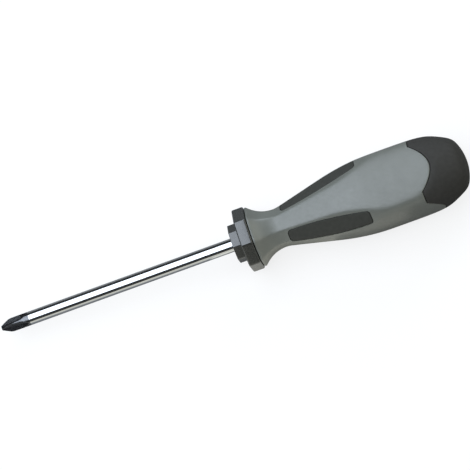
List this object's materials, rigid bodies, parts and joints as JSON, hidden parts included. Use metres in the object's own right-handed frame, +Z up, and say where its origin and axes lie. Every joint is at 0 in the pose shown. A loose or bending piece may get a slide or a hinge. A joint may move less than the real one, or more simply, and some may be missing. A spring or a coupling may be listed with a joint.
{
  "type": "cross-head screwdriver",
  "caption": "Fixed-blade cross-head screwdriver: bright round shank, stepped octagonal bolster and a faceted grey handle with soft dark inserts and end cap, for driving cross-recess screws.",
  "frame": {"origin": "bottom centre of the bounding box: the tool lies on one wide side of its handle and on the flange, with the ground at z = 0", "axes": "+X from the point to the butt along the ground, +Z up; the tool's own axis rises slightly towards the butt, because the handle's swell is thicker than the flange"},
  "size_m": [0.1998, 0.0292, 0.0304],
  "materials": {
    "blade_steel": "bright chrome-plated steel with a dark finish on the point",
    "core_plastic": "dark satin moulded plastic",
    "shell_plastic": "mid grey satin moulded plastic with a fine grain",
    "soft_grip": "dark matt soft plastic"
  },
  "bodies": {
    "root": {"blade": "blade_steel", "core": "core_plastic", "handle_shell": "shell_plastic", "grip_insert_1": "soft_grip", "grip_insert_2": "soft_grip", "grip_insert_3": "soft_grip", "grip_insert_4": "soft_grip", "end_cap": "soft_grip"}
  },
  "joints": []
}
